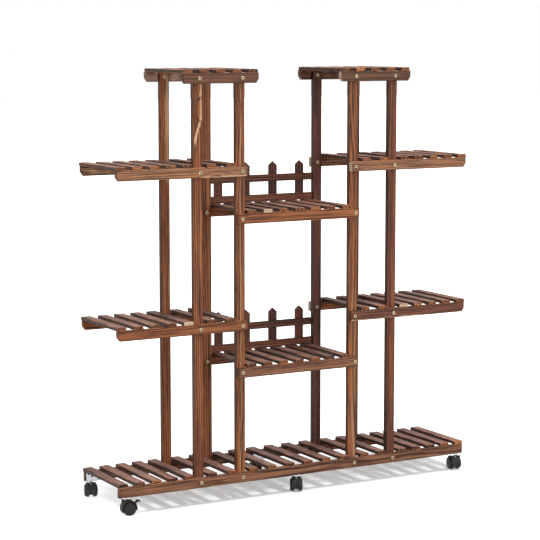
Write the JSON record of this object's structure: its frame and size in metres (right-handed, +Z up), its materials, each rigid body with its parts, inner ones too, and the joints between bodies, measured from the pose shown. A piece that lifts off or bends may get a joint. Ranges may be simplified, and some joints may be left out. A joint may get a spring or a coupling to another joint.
{
  "type": "plant stand",
  "caption": "Stepped plant stand of slatted timber shelves on two post towers, with picket backs on the centre shelves and twin-wheel swivel casters.",
  "frame": {"origin": "on the floor, at the middle of the whole box", "axes": "+Z up, X along the stand with +X to the right seen from the front, -Y to the front, +Y to the picket fences"},
  "size_m": [1.204, 0.2984, 1.275],
  "materials": {
    "rail_timber": "matt, heat-treated softwood with strong dark grain",
    "post_timber": "matt, heat-treated softwood with strong dark grain",
    "slat_timber": "matt, heat-treated softwood with strong dark grain",
    "fence_timber": "matt, heat-treated softwood with strong dark grain",
    "yellow_zinc": "yellow zinc plated",
    "white_zinc": "bright zinc plated",
    "hood_plastic": "fine moulded texture",
    "wheel_plastic": "smooth satin moulding"
  },
  "bodies": {
    "frame": {"rail_base_front": "rail_timber", "rail_base_back": "rail_timber", "rail_side_lower_left_front": "rail_timber", "rail_side_lower_left_back": "rail_timber", "rail_side_lower_right_front": "rail_timber", "rail_side_lower_right_back": "rail_timber", "rail_side_upper_left_front": "rail_timber", "rail_side_upper_left_back": "rail_timber", "rail_side_upper_right_front": "rail_timber", "rail_side_upper_right_back": "rail_timber", "rail_centre_lower_front": "rail_timber", "rail_centre_lower_back": "rail_timber", "rail_centre_upper_front": "rail_timber", "rail_centre_upper_back": "rail_timber", "rail_top_left_front": "rail_timber", "rail_top_left_back": "rail_timber", "rail_top_right_front": "rail_timber", "rail_top_right_back": "rail_timber", "post_left_outer_front": "post_timber", "post_left_outer_back": "post_timber", "post_left_inner_front": "post_timber", "post_left_inner_back": "post_timber", "post_right_inner_front": "post_timber", "post_right_inner_back": "post_timber", "post_right_outer_front": "post_timber", "post_right_outer_back": "post_timber", "slats_base": "slat_timber", "slats_side_lower_left": "slat_timber", "slats_side_lower_right": "slat_timber", "slats_side_upper_left": "slat_timber", "slats_side_upper_right": "slat_timber", "slats_centre_lower": "slat_timber", "slats_centre_upper": "slat_timber", "slats_top_left": "slat_timber", "slats_top_right": "slat_timber", "fence_rails_lower": "fence_timber", "fence_rails_upper": "fence_timber", "fence_pickets_lower": "fence_timber", "fence_pickets_upper": "fence_timber", "wood_screws": "yellow_zinc", "fence_screws": "yellow_zinc", "caster_brackets": "white_zinc", "bracket_screws": "white_zinc", "caster_stems": "white_zinc"},
    "hood_front_left": {"caster_front_left_hood": "hood_plastic"},
    "wheels_front_left": {"caster_front_left_wheels": "wheel_plastic"},
    "lever_front_left": {"caster_front_left_brake_lever": "hood_plastic"},
    "hood_front_middle": {"caster_front_middle_hood": "hood_plastic"},
    "wheels_front_middle": {"caster_front_middle_wheels": "wheel_plastic"},
    "hood_front_right": {"caster_front_right_hood": "hood_plastic"},
    "wheels_front_right": {"caster_front_right_wheels": "wheel_plastic"},
    "hood_back_left": {"caster_back_left_hood": "hood_plastic"},
    "wheels_back_left": {"caster_back_left_wheels": "wheel_plastic"},
    "hood_back_middle": {"caster_back_middle_hood": "hood_plastic"},
    "wheels_back_middle": {"caster_back_middle_wheels": "wheel_plastic"},
    "lever_back_middle": {"caster_back_middle_brake_lever": "hood_plastic"},
    "hood_back_right": {"caster_back_right_hood": "hood_plastic"},
    "wheels_back_right": {"caster_back_right_wheels": "wheel_plastic"}
  },
  "joints": [
    {"name": "swivel_front_left", "type": "hinge", "parent": "frame", "child": "hood_front_left", "pos_m": [-0.578, -0.1265, 0.04], "axis": [0, 0, 1], "continuous": true},
    {"name": "roll_front_left", "type": "hinge", "parent": "hood_front_left", "child": "wheels_front_left", "pos_m": [-0.56914, -0.12806, 0.02], "axis": [0.1736, 0.9848, 0], "continuous": true},
    {"name": "brake_front_left", "type": "hinge", "parent": "hood_front_left", "child": "lever_front_left", "pos_m": [-0.55744, -0.13012, 0.02742], "axis": [0.1736, 0.9848, 0], "range_deg": [0, 26]},
    {"name": "swivel_front_middle", "type": "hinge", "parent": "frame", "child": "hood_front_middle", "pos_m": [-0.008, -0.1265, 0.04], "axis": [0, 0, 1], "continuous": true},
    {"name": "roll_front_middle", "type": "hinge", "parent": "hood_front_middle", "child": "wheels_front_middle", "pos_m": [-0.0035, -0.1187, 0.02], "axis": [-0.866, 0.5, 0], "continuous": true},
    {"name": "swivel_front_right", "type": "hinge", "parent": "frame", "child": "hood_front_right", "pos_m": [0.578, -0.1265, 0.04], "axis": [0, 0, 1], "continuous": true},
    {"name": "roll_front_right", "type": "hinge", "parent": "hood_front_right", "child": "wheels_front_right", "pos_m": [0.57956, -0.11764, 0.02], "axis": [-0.9848, 0.1736, 0], "continuous": true},
    {"name": "swivel_back_left", "type": "hinge", "parent": "frame", "child": "hood_back_left", "pos_m": [-0.578, 0.1145, 0.04], "axis": [0, 0, 1], "continuous": true},
    {"name": "roll_back_left", "type": "hinge", "parent": "hood_back_left", "child": "wheels_back_left", "pos_m": [-0.57552, 0.12315, 0.02], "axis": [-0.9613, 0.2756, 0], "continuous": true},
    {"name": "swivel_back_middle", "type": "hinge", "parent": "frame", "child": "hood_back_middle", "pos_m": [-0.008, 0.1145, 0.04], "axis": [0, 0, 1], "continuous": true},
    {"name": "roll_back_middle", "type": "hinge", "parent": "hood_back_middle", "child": "wheels_back_middle", "pos_m": [-0.01595, 0.11873, 0.02], "axis": [-0.4695, -0.8829, 0], "continuous": true},
    {"name": "brake_back_middle", "type": "hinge", "parent": "hood_back_middle", "child": "lever_back_middle", "pos_m": [-0.02643, 0.1243, 0.02742], "axis": [-0.4695, -0.8829, 0], "range_deg": [0, 26]},
    {"name": "swivel_back_right", "type": "hinge", "parent": "frame", "child": "hood_back_right", "pos_m": [0.578, 0.1145, 0.04], "axis": [0, 0, 1], "continuous": true},
    {"name": "roll_back_right", "type": "hinge", "parent": "hood_back_right", "child": "wheels_back_right", "pos_m": [0.57463, 0.12285, 0.02], "axis": [-0.9272, -0.3746, 0], "continuous": true}
  ]
}
